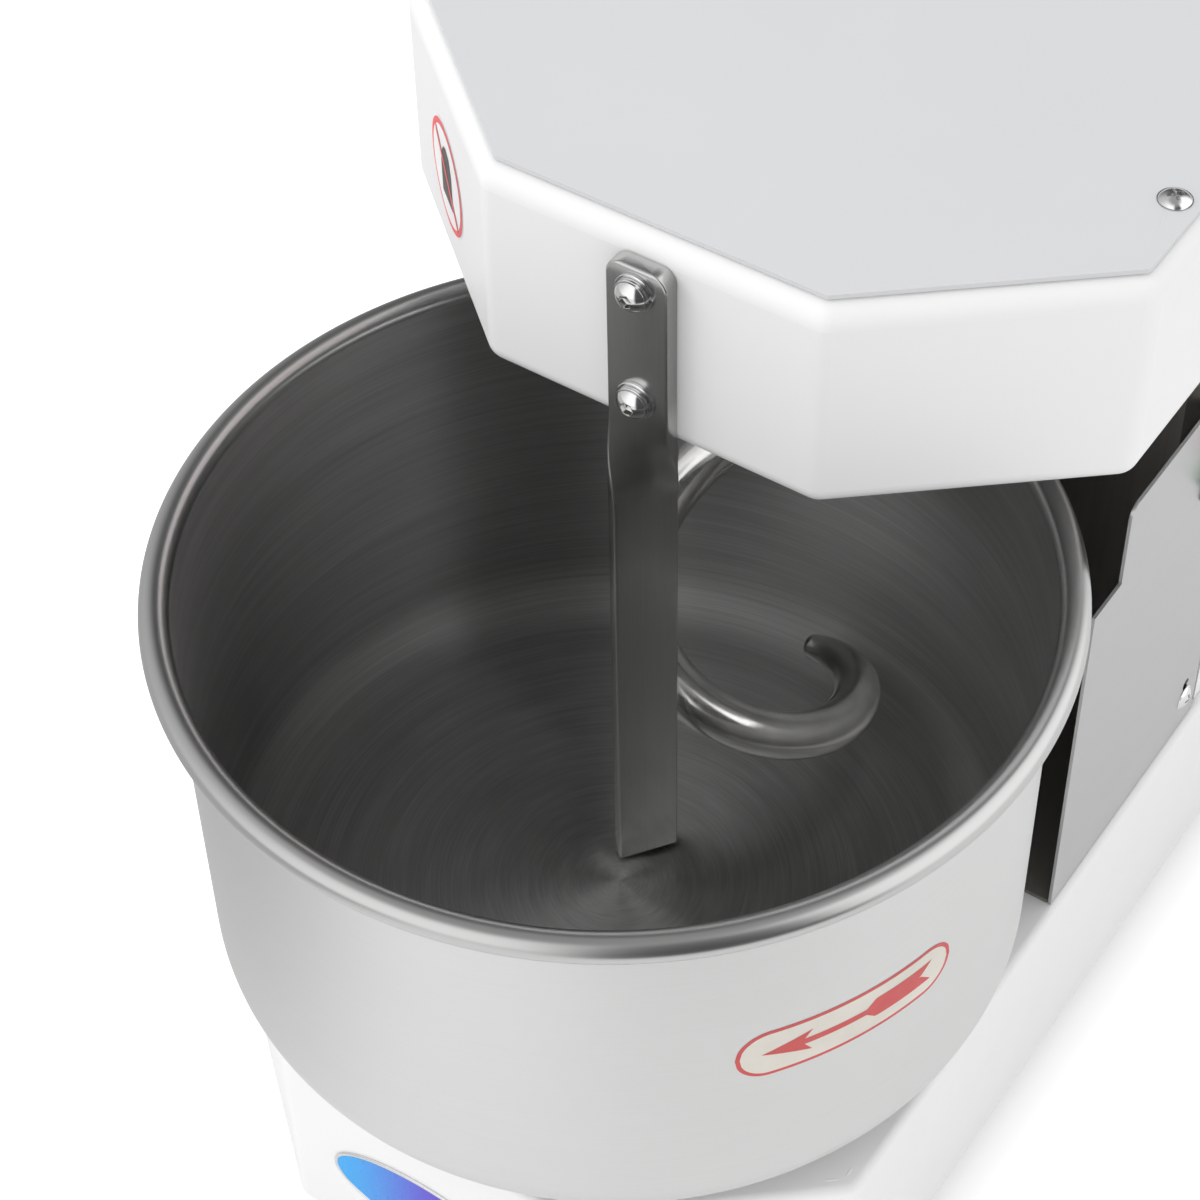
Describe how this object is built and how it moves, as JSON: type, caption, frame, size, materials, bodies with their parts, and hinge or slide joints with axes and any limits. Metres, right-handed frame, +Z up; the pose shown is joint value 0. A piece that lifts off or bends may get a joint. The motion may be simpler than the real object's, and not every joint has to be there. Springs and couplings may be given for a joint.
{
  "type": "spiral dough mixer",
  "caption": "Tabletop spiral dough mixer: steel bowl on a nosed base, spiral tool and twisted breaker bar under an overhanging head, belt driven from the rear column.",
  "frame": {"origin": "on the floor, in the middle of the outline", "axes": "+Z up, the bowl and nose face -Y, +X is the machine's right-hand side with the controls"},
  "size_m": [0.38, 0.68, 0.5184],
  "materials": {
    "white_paint": "smooth semi-gloss white powder coat",
    "cover_paint": "light grey powder coat",
    "bowl_steel": "circumferentially brushed stainless steel",
    "polished_steel": "polished stainless steel",
    "bar_steel": "lengthwise brushed stainless steel",
    "panel_steel": "satin stainless sheet",
    "frame_steel": "dark grey painted steel",
    "plated_steel": "zinc plated steel",
    "shaft_steel": "turned steel",
    "cast_iron": "painted casting",
    "pulley_metal": "machined aluminium",
    "belt_rubber": "ribbed black rubber",
    "foot_rubber": "matt black rubber",
    "motor_paint": "blue-grey enamel",
    "stator_iron": "varnished laminations",
    "fan_plastic": "matt black",
    "black_plastic": "fine textured black",
    "grey_plastic": "matt grey",
    "green_plastic": "gloss green",
    "red_plastic": "gloss red",
    "badge": "domed gloss badge with a silver edge"
  },
  "bodies": {
    "frame": {"base_badge": "badge", "base_bottom_plate": "frame_steel", "base_shell": "white_paint", "bowl_bearings": "shaft_steel", "bowl_belt": "belt_rubber", "bowl_housing": "cast_iron", "bowl_housing_bolts": "plated_steel", "breaker_backing": "frame_steel", "breaker_bar": "bar_steel", "breaker_bolts": "plated_steel", "breaker_washers": "plated_steel", "cable_gland": "black_plastic", "column_frame": "frame_steel", "contactor_box": "grey_plastic", "control_plate": "panel_steel", "counter_belt": "belt_rubber", "counter_housing": "cast_iron", "drive_plate": "frame_steel", "feet": "foot_rubber", "foot_bolts": "plated_steel", "head_base_plate": "frame_steel", "head_cover": "cover_paint", "head_cover_screws": "plated_steel", "head_shell": "white_paint", "main_housings": "cast_iron", "motor_belt": "belt_rubber", "motor_fan_cover": "motor_paint", "motor_housing": "motor_paint", "motor_stator": "stator_iron", "panel_screws": "plated_steel", "rear_cover": "white_paint", "rear_cover_screws": "plated_steel", "shaft_bearings": "shaft_steel", "side_panel_left": "panel_steel", "side_panel_right": "panel_steel", "spiral_bearings": "shaft_steel", "spiral_belt": "belt_rubber", "spiral_housing": "cast_iron", "switch_block": "grey_plastic", "timer_body": "grey_plastic"},
    "bowl": {"bowl": "bowl_steel", "bowl_hub": "shaft_steel", "bowl_shaft": "shaft_steel", "bowl_pulley": "pulley_metal"},
    "main_shaft": {"main_shaft": "shaft_steel", "main_drive_pulley": "pulley_metal", "bowl_drive_pulley": "pulley_metal", "main_top_pulley": "pulley_metal"},
    "countershaft": {"counter_shaft": "shaft_steel", "counter_pulley_large": "pulley_metal", "counter_pulley_small": "pulley_metal"},
    "motor_rotor": {"motor_rotor": "shaft_steel", "motor_fan": "fan_plastic", "motor_pulley": "pulley_metal"},
    "spiral": {"spiral_shaft": "shaft_steel", "spiral_hook": "polished_steel", "spiral_pulley": "pulley_metal"},
    "start_button": {"start_button": "green_plastic"},
    "stop_button": {"stop_button": "red_plastic"},
    "timer_knob": {"timer_knob": "black_plastic"}
  },
  "joints": [
    {"name": "bowl_spin", "type": "hinge", "parent": "frame", "child": "bowl", "pos_m": [0, -0.15, 0], "axis": [0, 0, -1], "continuous": true},
    {"name": "main_shaft_spin", "type": "hinge", "parent": "frame", "child": "main_shaft", "pos_m": [0, 0.105, 0], "axis": [0, 0, -1], "continuous": true},
    {"name": "spiral_spin", "type": "hinge", "parent": "frame", "child": "spiral", "pos_m": [0, -0.042, 0], "axis": [0, 0, -1], "continuous": true},
    {"name": "countershaft_spin", "type": "hinge", "parent": "frame", "child": "countershaft", "pos_m": [-0.06, 0.225, 0], "axis": [0, 0, -1], "continuous": true},
    {"name": "motor_spin", "type": "hinge", "parent": "frame", "child": "motor_rotor", "pos_m": [0.07, 0.2, 0], "axis": [0, 0, -1], "continuous": true},
    {"name": "start_press", "type": "slide", "parent": "frame", "child": "start_button", "axis": [-1, 0, 0], "range_m": [0, 0.0025], "stiffness_N_per_m": 1200, "springref_m": -0.002},
    {"name": "stop_press", "type": "slide", "parent": "frame", "child": "stop_button", "axis": [-1, 0, 0], "range_m": [0, 0.0025], "stiffness_N_per_m": 1600, "springref_m": -0.002},
    {"name": "timer_turn", "type": "hinge", "parent": "frame", "child": "timer_knob", "pos_m": [0.165, 0.17, 0.33], "axis": [-1, 0, 0], "range_deg": [0, 300]}
  ],
  "couplings": [
    {"joint": "main_shaft_spin", "follows": "bowl_spin", "ratio": 5},
    {"joint": "spiral_spin", "follows": "bowl_spin", "ratio": 5},
    {"joint": "countershaft_spin", "follows": "bowl_spin", "ratio": 16},
    {"joint": "motor_spin", "follows": "bowl_spin", "ratio": 64}
  ]
}
